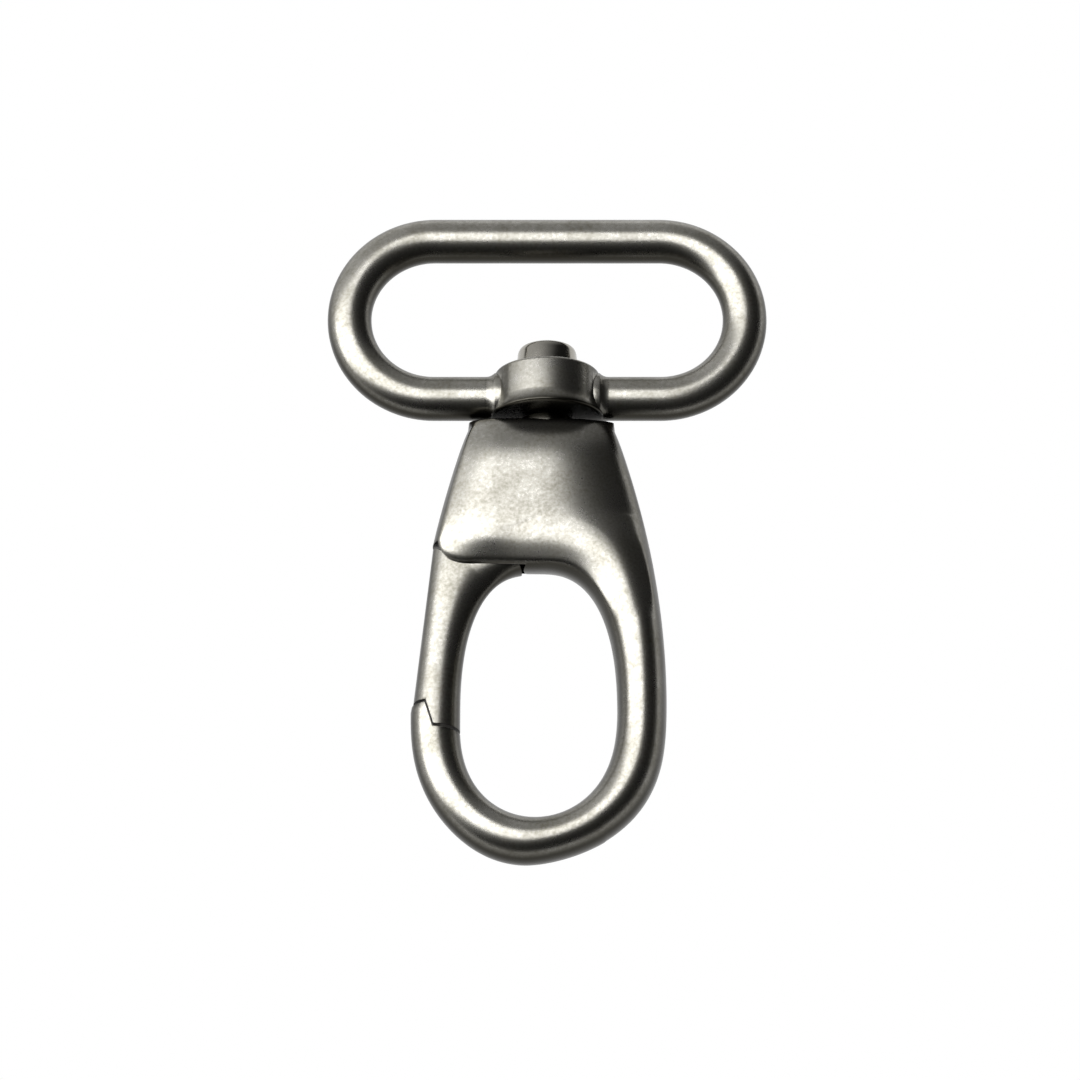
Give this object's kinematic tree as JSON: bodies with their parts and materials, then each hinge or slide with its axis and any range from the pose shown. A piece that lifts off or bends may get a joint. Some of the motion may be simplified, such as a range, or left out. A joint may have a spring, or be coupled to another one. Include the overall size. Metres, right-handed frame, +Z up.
{
  "type": "swivel snap hook",
  "caption": "Swivel snap hook: an oval strap loop with a collar turns on a rivet above a flat tapered body whose oval eye is closed by an inward-opening sprung gate.",
  "frame": {"origin": "bottom centre of the bounding box, on the table the hook lies on, front face up", "axes": "+X to the right as seen from the front, the gate being on the -X side; +Y from the foot of the hook to the strap loop; +Z up, the way the front faces. The hook leans about 4 degrees because it lies on its collar and on the foot of its ring"},
  "size_m": [0.04, 0.0612, 0.0104],
  "materials": {
    "cast_metal": "die-cast zinc alloy with a satin antique nickel plating, mottled with a darker patina",
    "turned_steel": "turned steel under the same antique nickel plating, smoother than the castings",
    "spring_steel": "bright drawn spring wire"
  },
  "bodies": {
    "hook": {"hook_body": "cast_metal", "swivel_rivet": "turned_steel", "gate_pin": "turned_steel", "gate_spring": "spring_steel"},
    "loop": {"strap_loop": "cast_metal"},
    "gate_arm": {"gate": "cast_metal"}
  },
  "joints": [
    {"name": "loop_swivel", "type": "hinge", "parent": "hook", "child": "loop", "pos_m": [0, 0.01314, 0.00526], "axis": [0, 0.9978, 0.0663], "continuous": true},
    {"name": "gate_hinge", "type": "hinge", "parent": "hook", "child": "gate_arm", "pos_m": [-0.00567, -0.00007, 0.00438], "axis": [0, -0.0663, 0.9978], "range_deg": [0, 30], "stiffness_Nm_per_rad": 0.05, "springref_deg": -34.38, "deforming": ["gate_spring"]}
  ]
}
